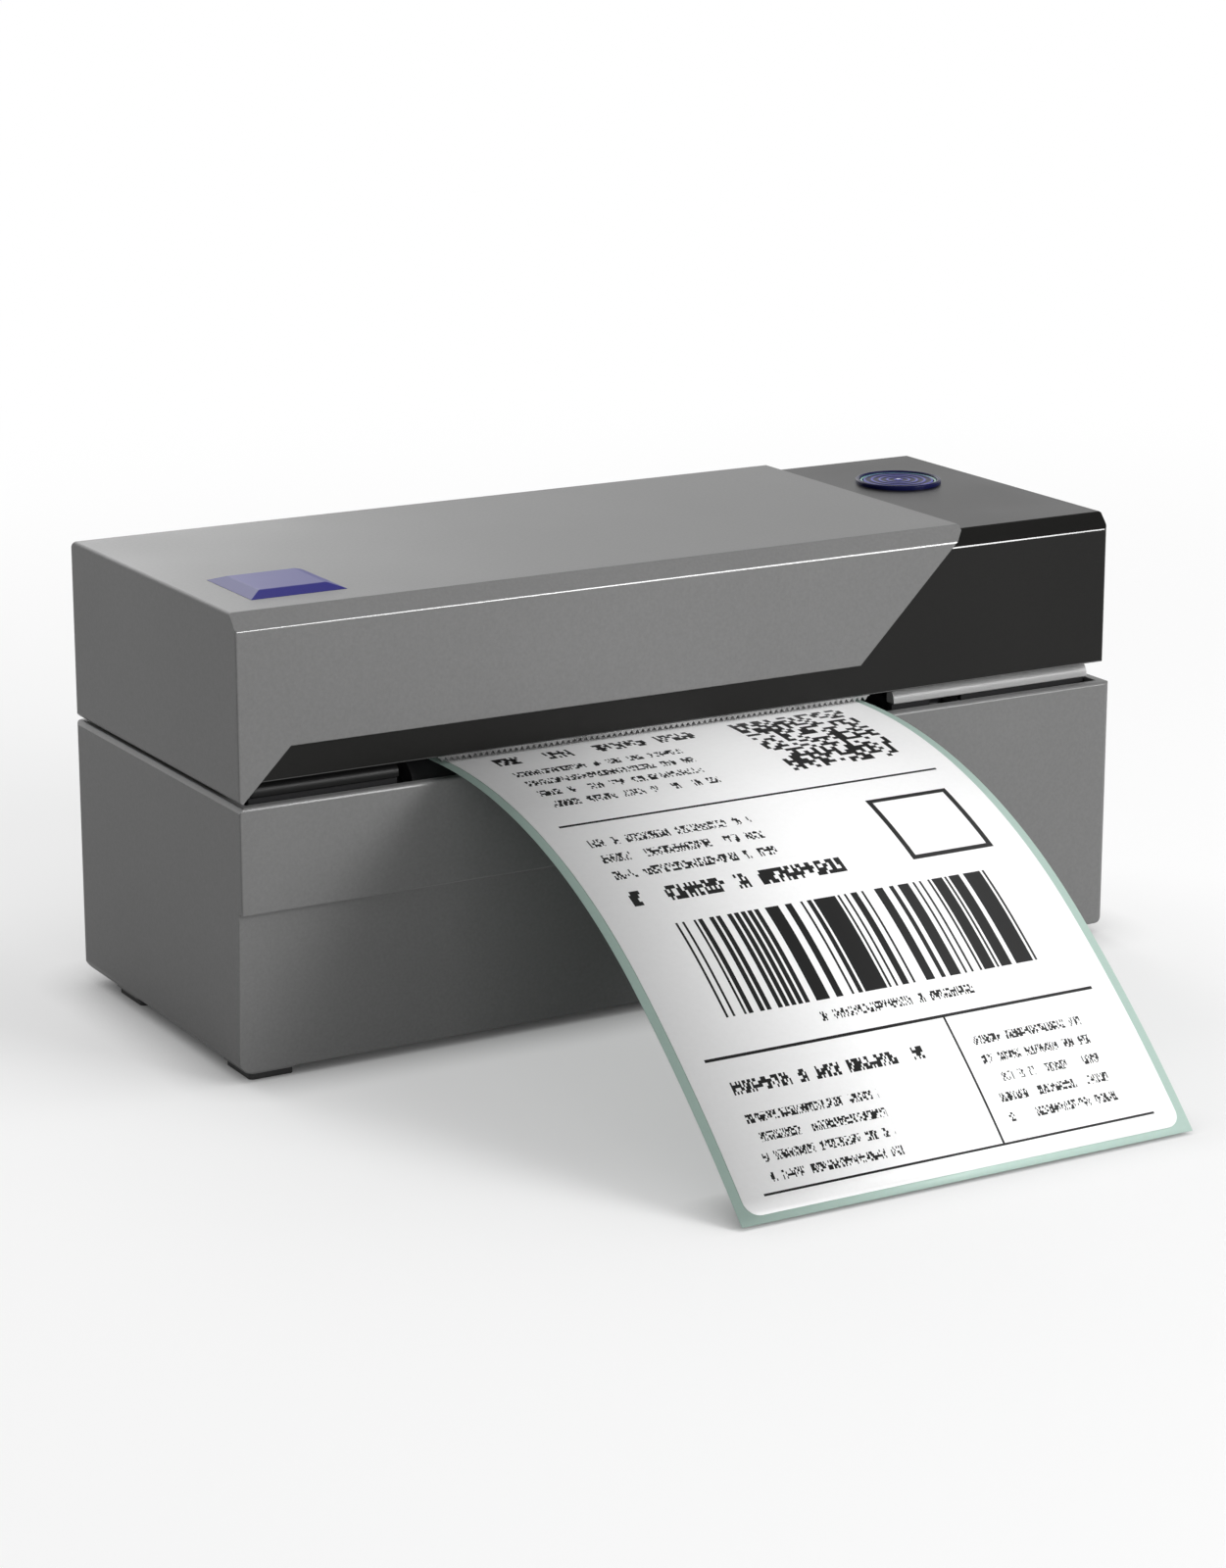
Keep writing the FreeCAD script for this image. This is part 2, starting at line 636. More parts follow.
def base_outline():
    side = prism("x", [
        (FRONT, BOTTOM, FRONT_LEFT_RADIUS), (BACK, BOTTOM, BACK_BOTTOM_RADIUS),
        (BACK, BASE_TOP - SEAM_CHAMFER), (BACK - SEAM_CHAMFER, BASE_TOP),
        (FRONT + RIM_CHAMFER, BASE_TOP), (FRONT, BASE_TOP - RIM_CHAMFER)], -HALF_W, HALF_W)
    front = prism("y", [
        (-HALF_W, BOTTOM, SIDE_BOTTOM_RADIUS), (HALF_W, BOTTOM, SIDE_BOTTOM_RADIUS),
        (HALF_W, BASE_TOP - RIM_CHAMFER), (HALF_W - RIM_CHAMFER, BASE_TOP),
        (-HALF_W + SEAM_CHAMFER, BASE_TOP), (-HALF_W, BASE_TOP - SEAM_CHAMFER)], FRONT, BACK)
    top = prism("z", [
        (-HALF_W, FRONT, FRONT_LEFT_RADIUS), (HALF_W, FRONT, FRONT_RIGHT_RADIUS),
        (HALF_W, BACK, BACK_CORNER_RADIUS), (-HALF_W, BACK, BACK_CORNER_RADIUS)], BOTTOM, BASE_TOP)
    return side.common(front).common(top)


def base_shell():
    shell = base_outline()
    recess_back = FRONT + STEP_DEPTH + STEP_LEAN
    recess = prism("x", [
        (FRONT - WALL, BOTTOM - FLOOR), (recess_back, BOTTOM - FLOOR), (recess_back, BOTTOM),
        (FRONT + STEP_DEPTH, STEP_Z), (FRONT - WALL, STEP_Z)], -HALF_W - WALL, STEP_END_X)
    inner_x = HALF_W - WALL
    upper_room = box(-inner_x, inner_x, FRONT + WALL, BACK - WALL, STEP_Z + WALL, BASE_TOP + WALL)
    lower_room = box(-inner_x, inner_x, recess_back + WALL, BACK - WALL, FLOOR_TOP, STEP_Z + WALL)
    shell = shell.cut(recess).cut(upper_room).cut(lower_room)
    posts = [rod_z(BOSS_RADIUS, FLOOR_TOP - FLOOR / 2, DECK_BOTTOM, x, y) for x, y in DECK_SCREWS]
    posts += [rod_z(BOARD_POST_RADIUS, FLOOR_TOP - FLOOR / 2, BOARD_Z, x, y) for x, y in BOARD_SCREWS]
    pads = []
    for x, y in FEET:
        half_x = FOOT_WIDTH / 2 + FOOT_PAD_BORDER
        half_y = FOOT_LENGTH / 2 + FOOT_PAD_BORDER
        corner = FOOT_CORNER + FOOT_PAD_BORDER
        pads.append(prism("z", [
            (x - half_x, y - half_y, corner), (x + half_x, y - half_y, corner),
            (x + half_x, y + half_y, corner), (x - half_x, y + half_y, corner)],
            FOOT_HEIGHT, BOTTOM + FLOOR / 2))
    lugs = []
    reliefs = []
    for x in HINGES:
        for x0, x1 in base_lug_spans(x):
            lugs.append(rod_x(LUG_RADIUS, x0, x1, HINGE_Y, HINGE_Z))
            lugs.append(prism("x", [
                (BACK - WALL / 2, HINGE_Z - LUG_ROOT), (BACK, HINGE_Z - LUG_ROOT),
                (BACK + LUG_RADIUS, HINGE_Z - LUG_RADIUS), (BACK + LUG_RADIUS, HINGE_Z),
                (BACK - WALL / 2, HINGE_Z)], x0, x1))
        reliefs.append(rod_x(LUG_RADIUS + LUG_GAP, *lid_lug_span(x, LUG_GAP), HINGE_Y, HINGE_Z))
    shell = fuse([shell] + posts + pads + lugs)
    cuts = reliefs
    cuts += [rod_x(HINGE_PIN_RADIUS, *hinge_pin_span(x), HINGE_Y, HINGE_Z) for x in HINGES]
    cuts += [screw_hole(x, y, DECK_BOTTOM - SCREW_LENGTH, DECK_BOTTOM) for x, y in DECK_SCREWS]
    cuts += [screw_hole(x, y, BOARD_Z - SMALL_SCREW_LENGTH, BOARD_Z) for x, y in BOARD_SCREWS]
    for centre, size in ((USB_X, USB_SIZE), (JACK_X, JACK_SIZE)):
        half = size[0] / 2 + SOCKET_CLEARANCE
        cuts.append(box(centre - half, centre + half, BACK - 2 * WALL, BACK + WALL,
                        BOARD_TOP - SOCKET_CLEARANCE, BOARD_TOP + size[2] + SOCKET_CLEARANCE))
    cuts.append(switch_box(SWITCH_BODY, BACK - 2 * WALL, BACK + WALL))
    return shell.cut(cuts)


def rubber_feet():
    feet = []
    for x, y in FEET:
        half_x = FOOT_WIDTH / 2
        half_y = FOOT_LENGTH / 2
        feet.append(prism("z", [
            (x - half_x, y - half_y, FOOT_CORNER), (x + half_x, y - half_y, FOOT_CORNER),
            (x + half_x, y + half_y, FOOT_CORNER), (x - half_x, y + half_y, FOOT_CORNER)], 0.0, FOOT_HEIGHT))
    return feet


def hinge_pin_span(x):
    half = LID_LUG_LENGTH / 2 + LUG_GAP + BASE_LUG_LENGTH
    return x - half, x + half


def hinge_pins():
    return [rod_x(HINGE_PIN_RADIUS, *hinge_pin_span(x), HINGE_Y, HINGE_Z) for x in HINGES]


# Deck, rails and media table

def gear_bay(low, high):
    """Room in the deck for the gears that stand up through it."""
    middle = REDUCTION_AXIS[0]
    reach = (REDUCTION_LARGE_TEETH / 2 + ADDENDUM) * MODULE + GEAR_BAY_CLEARANCE
    return box(GEAR_X - GEAR_BAY_CLEARANCE, GEAR_END_X + GEAR_BAY_CLEARANCE,
               middle - reach, middle + reach, low, high)


def base_deck():
    half_x = HALF_W - WALL - DECK_CLEARANCE
    front = FRONT + WALL + DECK_CLEARANCE
    back = BACK - WALL - DECK_CLEARANCE
    plate = box(-half_x, half_x, front, back, DECK_BOTTOM, DECK_TOP)
    rib_y = RAIL_FRONT_Y + (RAIL_DEPTH - RIB_DEPTH) / 2
    ribs = [box(x0, x1, rib_y, rib_y + RIB_DEPTH, DECK_TOP, RAIL_BOTTOM)
            for x0, x1 in (LEFT_RAIL_X, RIGHT_RAIL_X)]
    blocks = []
    for x in (LEFT_BLOCK_X, RIGHT_BLOCK_X):
        blocks.append(box(x, x + BLOCK_WIDTH, PLATEN_Y - BLOCK_HALF_DEPTH, PLATEN_Y + BLOCK_HALF_DEPTH,
                          PLATEN_Z - BLOCK_BOTTOM_UNDER_AXIS, PLATEN_Z + BLOCK_TOP_OVER_AXIS))
    post = rod_z(GUIDE_POST_RADIUS, DECK_TOP, TABLE_BOTTOM, LABEL_CENTRE_X, GUIDE_PINION_Y)
    reach = PLATEN_RADIUS + TROUGH_CLEARANCE
    trough = box(PLATEN_LEFT - TROUGH_CLEARANCE, PLATEN_RIGHT + TROUGH_CLEARANCE,
                 PLATEN_Y - reach, PLATEN_Y + reach, DECK_BOTTOM, DECK_TOP)
    shaft_room = box(LEFT_BLOCK_X - 2 * SHAFT_OVERHANG, GEAR_X, PLATEN_Y - SHAFT_RADIUS - SHAFT_ROOM,
                     PLATEN_Y + SHAFT_RADIUS + SHAFT_ROOM, DECK_BOTTOM, DECK_TOP)
    deck = fuse([plate.cut([trough, shaft_room])] + ribs + blocks + [post])
    cuts = [gear_bay(DECK_BOTTOM, RAIL_BOTTOM)]
    for x in (LEFT_BLOCK_X, RIGHT_BLOCK_X):
        cuts.append(rod_x(BUSH_RADIUS + SEAT_CLEARANCE, x, x + BLOCK_WIDTH, PLATEN_Y, PLATEN_Z))
    cuts += [screw_hole(x, y, DECK_BOTTOM, DECK_TOP) for x, y in DECK_SCREWS + BRACKET_SCREWS]
    for x in TONGUES:
        half = TONGUE_THICKNESS / 2 + TONGUE_CLEARANCE
        cuts.append(box(x - half, x + half, TONGUE_FRONT_Y - TONGUE_CLEARANCE,
                        TONGUE_BACK_Y + TONGUE_CLEARANCE, DECK_BOTTOM, DECK_TOP))
    return deck.cut(cuts)


def slot_rail(x_span):
    back = RAIL_FRONT_Y + RAIL_DEPTH
    top = RAIL_BOTTOM + RAIL_HEIGHT
    return prism("x", [
        (RAIL_FRONT_Y, RAIL_BOTTOM), (back, RAIL_BOTTOM), (back, top),
        (RAIL_FRONT_Y, top, RAIL_ROUNDING)], *x_span)


def deck_screws():
    return [screw(x, y, DECK_TOP, SCREW_LENGTH, up=False) for x, y in DECK_SCREWS]


def neck_y(side):
    """Y span of a guide's neck: the left rack runs in front of the pinion, the right one behind it."""
    pitch = GUIDE_PINION_TEETH * RACK_MODULE / 2 + DEDENDUM * RACK_MODULE
    near = GUIDE_PINION_Y + side * pitch
    far = near + side * NECK_WIDTH
    return min(near, far), max(near, far)


def guide_face_x(side):
    return LABEL_CENTRE_X + side * (LINER_HALF_WIDTH + GUIDE_SIDE_GAP)


def span(a, b):
    return min(a, b), max(a, b)


def media_table():
    table = fuse([
        box(TABLE_LEFT, TABLE_RIGHT, TABLE_FRONT_Y, TABLE_BACK_Y, TABLE_BOTTOM, TABLE_TOP),
        box(TABLE_LEFT, TABLE_RIGHT, TABLE_FRONT_Y, TABLE_FRONT_Y + TABLE_LEG, DECK_TOP, TABLE_BOTTOM),
        box(TABLE_LEFT, TABLE_RIGHT, TABLE_BACK_Y - TABLE_LEG, TABLE_BACK_Y, DECK_TOP, TABLE_BOTTOM),
    ])
    for side in (-1, 1):
        face = guide_face_x(side)
        slot_x = span(face + side * (NECK_LENGTH + SLOT_CLEARANCE),
                      face - side * (GUIDE_TRAVEL + SLOT_CLEARANCE))
        y0, y1 = neck_y(side)
        table = table.cut(box(*slot_x, y0 - SLOT_CLEARANCE, y1 + SLOT_CLEARANCE, TABLE_BOTTOM, TABLE_TOP))
    half = SENSOR_SIZE[0] / 2 + DECK_CLEARANCE
    window_y = (SENSOR_FRONT_Y - DECK_CLEARANCE, SENSOR_FRONT_Y + SENSOR_SIZE[1] + DECK_CLEARANCE)
    return table.cut(box(LABEL_CENTRE_X - half, LABEL_CENTRE_X + half, *window_y, TABLE_BOTTOM, TABLE_TOP))


def label_sensor():
    half = SENSOR_SIZE[0] / 2
    y0 = SENSOR_FRONT_Y
    y1 = SENSOR_FRONT_Y + SENSOR_SIZE[1]
    body = box(LABEL_CENTRE_X - half, LABEL_CENTRE_X + half, y0, y1, DECK_TOP, TABLE_TOP)
    eye = rod_z(SENSOR_EYE_RADIUS, TABLE_TOP - SENSOR_EYE_DEPTH, TABLE_TOP, LABEL_CENTRE_X, (y0 + y1) / 2)
    return body.cut(eye)


def media_guide(side):
    """Fence on the table, with a neck down through its slot to a rack under the table."""
    face = guide_face_x(side)
    bottom = TABLE_TOP + GUIDE_FLOAT
    fence = box(*span(face, face + side * FENCE_THICKNESS), FENCE_FRONT_Y, FENCE_BACK_Y,
                bottom, bottom + FENCE_HEIGHT)
    flange = box(*span(face, face + side * GUIDE_FLANGE_WIDTH), FENCE_FRONT_Y, FENCE_BACK_Y,
                 bottom, bottom + GUIDE_FLANGE_THICKNESS)
    rack_z0 = DECK_TOP + GUIDE_FLOAT * 2
    neck_x = span(face, face + side * NECK_LENGTH)
    neck = box(*neck_x, *neck_y(side), rack_z0, bottom)
    pitch = math.pi * RACK_MODULE
    pitch_y = GUIDE_PINION_Y + side * GUIDE_PINION_TEETH * RACK_MODULE / 2
    root_y = pitch_y + side * DEDENDUM * RACK_MODULE
    tip_y = pitch_y - side * ADDENDUM * RACK_MODULE
    back_y = root_y + side * RACK_BACKING
    start = face + side * NECK_LENGTH
    end = LABEL_CENTRE_X - side * RACK_OVERLAP
    bar = box(*span(start, end), *span(root_y, back_y), rack_z0, rack_z0 + RACK_HEIGHT)
    teeth = []
    half_pitch_line = pitch / 4 - BACKLASH / 2
    half_root = half_pitch_line + DEDENDUM * RACK_MODULE * math.tan(PRESSURE_ANGLE)
    half_tip = half_pitch_line - ADDENDUM * RACK_MODULE * math.tan(PRESSURE_ANGLE)
    first = int(RACK_OVERLAP / pitch - 0.5)
    count = first + 1 + int((GUIDE_TRAVEL + RACK_OVERLAP) / pitch)
    sunk_y = root_y + side * RACK_TOOTH_ROOT
    for i in range(count):
        x = LABEL_CENTRE_X + side * (i - first + 0.5) * pitch
        teeth.append(prism("z", [
            (x - half_root, sunk_y), (x - half_root, root_y), (x - half_tip, tip_y),
            (x + half_tip, tip_y), (x + half_root, root_y), (x + half_root, sunk_y)],
            rack_z0, rack_z0 + RACK_HEIGHT))
    return fuse([fence, flange, neck, bar] + teeth)


def guide_pinion():
    z0 = DECK_TOP + GUIDE_FLOAT * 2
    gear = gear_outline(GUIDE_PINION_TEETH, RACK_MODULE, math.pi / 2).extrude(V(0, 0, RACK_HEIGHT))
    gear.translate(V(LABEL_CENTRE_X, GUIDE_PINION_Y, z0))
    bore = rod_z(GUIDE_POST_RADIUS + RUNNING_CLEARANCE, z0, z0 + RACK_HEIGHT, LABEL_CENTRE_X, GUIDE_PINION_Y)
    return gear.cut(bore)


# Platen and its gear train

def gear_places():
    """Axes of the platen, reduction and motor, in Y and Z."""
    first = (PLATEN_TEETH + REDUCTION_SMALL_TEETH) * MODULE / 2
    second = (REDUCTION_LARGE_TEETH + PINION_TEETH) * MODULE / 2

    def beside(y, z, distance, bearing):
        return y + distance * math.cos(bearing), z + distance * math.sin(bearing)

    reduction = beside(PLATEN_Y, PLATEN_Z, first, REDUCTION_BEARING)
    return reduction, beside(*reduction, second, MOTOR_BEARING)


REDUCTION_AXIS, MOTOR_AXIS = gear_places()


def platen_shaft():
    return rod_x(SHAFT_RADIUS, LEFT_BLOCK_X - SHAFT_OVERHANG, GEAR_X + GEAR_FACE, PLATEN_Y, PLATEN_Z)


def platen_sleeve():
    sleeve = rod_x(PLATEN_RADIUS, PLATEN_LEFT, PLATEN_RIGHT, PLATEN_Y, PLATEN_Z)
    return sleeve.cut(rod_x(SHAFT_RADIUS, PLATEN_LEFT, PLATEN_RIGHT, PLATEN_Y, PLATEN_Z))


def platen_bushings():
    bushes = []
    for x in (LEFT_BLOCK_X, RIGHT_BLOCK_X):
        place = (x, x + BLOCK_WIDTH, PLATEN_Y, PLATEN_Z)
        bushes.append(rod_x(BUSH_RADIUS, *place).cut(rod_x(SHAFT_RADIUS + RUNNING_CLEARANCE, *place)))
    return bushes


def platen_gear():
    gear = gear_x(PLATEN_TEETH, MODULE, REDUCTION_BEARING, GEAR_X, GEAR_X + GEAR_FACE, PLATEN_Y, PLATEN_Z)
    return gear.cut(rod_x(SHAFT_RADIUS, GEAR_X, GEAR_X + GEAR_FACE, PLATEN_Y, PLATEN_Z))


def reduction_gear():
    small_phase = REDUCTION_BEARING + math.pi + math.pi / REDUCTION_SMALL_TEETH
    small = gear_x(REDUCTION_SMALL_TEETH, MODULE, small_phase, GEAR_X, LARGE_GEAR_X, *REDUCTION_AXIS)
    large = gear_x(REDUCTION_LARGE_TEETH, MODULE, MOTOR_BEARING, LARGE_GEAR_X, GEAR_END_X, *REDUCTION_AXIS)
    bore = rod_x(AXLE_RADIUS + RUNNING_CLEARANCE, GEAR_X, GEAR_END_X, *REDUCTION_AXIS)
    return fuse([small, large]).cut(bore)


def reduction_axle():
    clip_x = GEAR_END_X + GEAR_SIDE_GAP
    return fuse([
        rod_x(AXLE_RADIUS, BRACKET_X, clip_x + AXLE_CLIP_THICKNESS, *REDUCTION_AXIS),
        rod_x(AXLE_CLIP_RADIUS, clip_x, clip_x + AXLE_CLIP_THICKNESS, *REDUCTION_AXIS),
        rod_x(AXLE_CLIP_RADIUS, BRACKET_X + BRACKET_THICKNESS, GEAR_X - GEAR_SIDE_GAP, *REDUCTION_AXIS),
    ])


def motor_pinion():
    phase = MOTOR_BEARING + math.pi + math.pi / PINION_TEETH
    gear = gear_x(PINION_TEETH, MODULE, phase, LARGE_GEAR_X, GEAR_END_X, *MOTOR_AXIS)
    return gear.cut(rod_x(MOTOR_SHAFT_RADIUS, LARGE_GEAR_X, GEAR_END_X, *MOTOR_AXIS))


def motor_shaft():
    return rod_x(MOTOR_SHAFT_RADIUS, BRACKET_X - MOTOR_SHAFT_DEPTH, GEAR_END_X, *MOTOR_AXIS)


def motor_outline(x0, x1, margin=0.0):
    y, z = MOTOR_AXIS
    half = MOTOR_SIZE / 2 + margin
    return prism("x", [
        (y - half, z - half, MOTOR_CORNER), (y + half, z - half, MOTOR_CORNER),
        (y + half, z + half, MOTOR_CORNER), (y - half, z + half, MOTOR_CORNER)], x0, x1)


def motor_hole_places():
    y, z = MOTOR_AXIS
    half = MOTOR_HOLE_PITCH / 2
    return [(y - half, z - half), (y + half, z - half), (y + half, z + half)]


def stepper_motor():
    body = motor_outline(BRACKET_X - MOTOR_LENGTH, BRACKET_X)
    bore_end = BRACKET_X - MOTOR_SHAFT_DEPTH - MOTOR_SHAFT_END_GAP
    body = body.cut(rod_x(MOTOR_SHAFT_RADIUS + RUNNING_CLEARANCE, bore_end, BRACKET_X, *MOTOR_AXIS))
    return body.cut([rod_x(SCREW_HOLE_RADIUS, BRACKET_X - SMALL_SCREW_LENGTH, BRACKET_X, *place)
                     for place in motor_hole_places()])


def motor_screws():
    screws = []
    seat = BRACKET_X + BRACKET_THICKNESS
    for place in motor_hole_places():
        screws.append(fuse([
            rod_x(SCREW_RADIUS, BRACKET_X - SMALL_SCREW_LENGTH, seat, *place),
            rod_x(SCREW_HEAD_RADIUS, seat, seat + SCREW_HEAD_HEIGHT, *place),
        ]))
    return screws


def motor_bracket():
    """Bent plate: the motor and the reduction axle are on its web, and its flange screws up to the deck."""
    y, z = MOTOR_AXIS
    half = MOTOR_SIZE / 2 + BRACKET_MARGIN
    axle_y, axle_z = REDUCTION_AXIS
    web = fuse([
        box(BRACKET_X, BRACKET_X + BRACKET_THICKNESS, y - half, y + half, z - half, DECK_BOTTOM),
        box(BRACKET_X, BRACKET_X + BRACKET_THICKNESS, axle_y - AXLE_CLIP_RADIUS - BRACKET_MARGIN, y,
            axle_z - AXLE_CLIP_RADIUS - BRACKET_MARGIN, axle_z + AXLE_CLIP_RADIUS),
    ])
    screw_ys = [place[1] for place in BRACKET_SCREWS]
    reach = SCREW_HEAD_RADIUS + BRACKET_MARGIN
    flange_y = (min(screw_ys) - reach, max(screw_ys) + reach)
    flange = box(BRACKET_X - FLANGE_LENGTH, BRACKET_X + BRACKET_THICKNESS, *flange_y,
                 DECK_BOTTOM - BRACKET_THICKNESS, DECK_BOTTOM)
    trim = box(BRACKET_X, BRACKET_X + BRACKET_THICKNESS, y - half, flange_y[0],
               PLATEN_Z - SHAFT_RADIUS - BRACKET_GAP, DECK_BOTTOM)
    cuts = [trim, rod_x(MOTOR_PILOT_RADIUS, BRACKET_X, BRACKET_X + BRACKET_THICKNESS, *MOTOR_AXIS)]
    cuts.append(rod_x(AXLE_RADIUS, BRACKET_X, BRACKET_X + BRACKET_THICKNESS, *REDUCTION_AXIS))
    cuts += [rod_x(SCREW_HOLE_RADIUS, BRACKET_X, BRACKET_X + BRACKET_THICKNESS, *place)
             for place in motor_hole_places()]
    cuts += [screw_hole(px, py, DECK_BOTTOM - BRACKET_THICKNESS, DECK_BOTTOM) for px, py in BRACKET_SCREWS]
    return fuse([web, flange]).cut(cuts)


def bracket_screws():
    return [screw(x, y, DECK_TOP, SMALL_SCREW_LENGTH, up=False) for x, y in BRACKET_SCREWS]


# Board, sockets and power switch

def main_board():
    board = box(*BOARD_X, *BOARD_Y, BOARD_Z, BOARD_TOP)
    return board.cut([screw_hole(x, y, BOARD_Z, BOARD_TOP) for x, y in BOARD_SCREWS])


def board_chips():
    chips = []
    left = BOARD_X[0]
    front = BOARD_Y[0]
    for x, y, width, depth, height in CHIPS:
        x0 = left + x - width / 2
        y0 = front + y - depth / 2
        chips.append(box(x0, x0 + width, y0, y0 + depth, BOARD_TOP, BOARD_TOP + height))
    for x, y in CAPACITOR_PLACES:
        chips.append(rod_z(CAPACITOR_RADIUS, BOARD_TOP, BOARD_TOP + CAPACITOR_HEIGHT, left + x, front + y))
    return chips


def board_screws():
    return [screw(x, y, BOARD_TOP, SMALL_SCREW_LENGTH, up=False) for x, y in BOARD_SCREWS]


def socket_body(centre, size):
    face = BACK - SOCKET_SET_BACK
    left = centre - size[0] / 2
    return box(left, left + size[0], face - size[1], face, BOARD_TOP, BOARD_TOP + size[2])


def usb_socket():
    face = BACK - SOCKET_SET_BACK
    middle = BOARD_TOP + USB_SIZE[2] / 2
    half_x = USB_MOUTH[0] / 2
    half_z = USB_MOUTH[1] / 2
    mouth = box(USB_X - half_x, USB_X + half_x, face - USB_MOUTH_DEPTH, face,
                middle - half_z, middle + half_z)
    return socket_body(USB_X, USB_SIZE).cut(mouth)


def dc_power_jack():
    face = BACK - SOCKET_SET_BACK
    middle = BOARD_TOP + JACK_SIZE[2] / 2
    bore = rod_y(JACK_BORE_RADIUS, face - JACK_BORE_DEPTH, face, JACK_X, middle)
    pin = rod_y(JACK_PIN_RADIUS, face - JACK_BORE_DEPTH, face - JACK_PIN_RECESS, JACK_X, middle)
    return socket_body(JACK_X, JACK_SIZE).cut(bore.cut(pin))


def switch_box(size, y0, y1):
    half_x = size[0] / 2
    half_z = size[1] / 2
    return box(SWITCH_X - half_x, SWITCH_X + half_x, y0, y1, SWITCH_Z - half_z, SWITCH_Z + half_z)


def switch_housing():
    outer = BACK + SWITCH_FLANGE_THICKNESS
    well = (ROCKER_LENGTH + 2 * ROCKER_CLEARANCE, 2 * (ROCKER_RADIUS + ROCKER_CLEARANCE))
    floor_y = outer + ROCKER_PROUD - 2 * ROCKER_RADIUS - ROCKER_CLEARANCE
    housing = fuse([
        switch_box(SWITCH_BODY, BACK - SWITCH_BODY_DEPTH, BACK),
        switch_box(SWITCH_FLANGE, BACK, outer),
    ])
    pivot = rod_x(AXLE_RADIUS, SWITCH_X - well[0] / 2, SWITCH_X + well[0] / 2, rocker_y(), SWITCH_Z)
    return fuse([housing.cut(switch_box(well, floor_y, outer)), pivot])


def rocker_y():
    return BACK + SWITCH_FLANGE_THICKNESS + ROCKER_PROUD - ROCKER_RADIUS


def power_rocker():
    """Round-bellied rocker whose outer face is two flats that meet in a shallow valley."""
    x0 = SWITCH_X - ROCKER_LENGTH / 2
    x1 = SWITCH_X + ROCKER_LENGTH / 2
    belly = rod_x(ROCKER_RADIUS, x0, x1, rocker_y(), SWITCH_Z)
    valley_y = rocker_y() + ROCKER_VALLEY
    reach = 2 * ROCKER_RADIUS
    edge_y = valley_y + reach * math.tan(math.radians(ROCKER_FACE_ANGLE))
    far_y = valley_y + reach
    faces = prism("x", [
        (valley_y, SWITCH_Z), (edge_y, SWITCH_Z - reach), (far_y, SWITCH_Z - reach),
        (far_y, SWITCH_Z + reach), (edge_y, SWITCH_Z + reach)], x0, x1)
    bore = rod_x(AXLE_RADIUS + RUNNING_CLEARANCE, x0, x1, rocker_y(), SWITCH_Z)
    return belly.cut(faces).cut(bore)


# Lid

LID_PROFILE = [
    (FRONT, LID_BOTTOM), (BACK, LID_BOTTOM),
    (BACK, HEIGHT - BACK_CHAMFER_DROP), (BACK - BACK_CHAMFER_DEPTH, HEIGHT),
    (FRONT + FRONT_CHAMFER_DEPTH, HEIGHT), (FRONT, HEIGHT - FRONT_CHAMFER_DROP)]


def lid_solid(distance, x0, x1, bottom):
    """Solid of the lid's side profile, moved inwards by a distance and carried down to a bottom."""
    corners = inset(LID_PROFILE, distance)
    corners[0] = (corners[0][0], bottom)
    corners[1] = (corners[1][0], bottom)
    return prism("x", corners, x0, x1)


def inlet(y0):
    half = LINER_HALF_WIDTH + INLET_SIDE_MARGIN
    return box(LABEL_CENTRE_X - half, LABEL_CENTRE_X + half, y0, BACK + WALL, LID_BOTTOM - WALL, INLET_Z)


def hinge_reliefs():
    return [rod_x(LUG_RADIUS + LUG_GAP, x0, x1, HINGE_Y, HINGE_Z)
            for x in HINGES for x0, x1 in base_lug_spans(x, LUG_GAP)]


def lid_cover():
    cover = lid_solid(0.0, -HALF_W, COVER_RIGHT_X, LID_BOTTOM)
    seam = prism("y", [
        (-HALF_W + SEAM_CHAMFER, LID_BOTTOM), (COVER_RIGHT_X, LID_BOTTOM), (COVER_RIGHT_X, HEIGHT),
        (-HALF_W + RIM_CHAMFER, HEIGHT), (-HALF_W, HEIGHT - RIM_CHAMFER),
        (-HALF_W, LID_BOTTOM + SEAM_CHAMFER)], FRONT, BACK)
    corners = prism("z", [
        (-HALF_W, FRONT, FRONT_LEFT_RADIUS), (COVER_RIGHT_X, FRONT), (COVER_RIGHT_X, BACK),
        (-HALF_W, BACK, BACK_CORNER_RADIUS)], LID_BOTTOM, HEIGHT)
    back_seam = prism("x", [
        (BACK - SEAM_CHAMFER, LID_BOTTOM), (BACK, LID_BOTTOM + SEAM_CHAMFER), (BACK, LID_BOTTOM)],
        -HALF_W, COVER_RIGHT_X)
    cover = cover.common(seam).common(corners).cut(back_seam)
    room = lid_solid(COVER_WALL, FRAME_LEFT, COVER_RIGHT_X + WALL, LID_BOTTOM - WALL)
    tip_x = -HALF_W + NOTCH_TIP_INSET
    far = HEIGHT - NOTCH_Z + WALL
    notch = prism("y", [
        (tip_x - WALL, LID_BOTTOM - WALL), (tip_x + NOTCH_RISE, NOTCH_Z), (NOTCH_RIGHT_X, NOTCH_Z),
        (NOTCH_RIGHT_X + far, NOTCH_Z + far), (COVER_RIGHT_X + far, LID_BOTTOM - WALL)][::-1],
        FRONT - WALL, FRONT + COVER_WALL + FRONT_CHAMFER_DEPTH)
    cuts = [room, notch, inlet(BACK - 2 * WALL)] + hinge_reliefs()
    for x in HINGES:
        cuts.append(box(*lid_lug_span(x, LUG_GAP), BACK - COVER_WALL, BACK + WALL,
                        LID_BOTTOM - WALL, HINGE_Z + LUG_ROOT + LUG_GAP))
    return cover.cut(cuts)


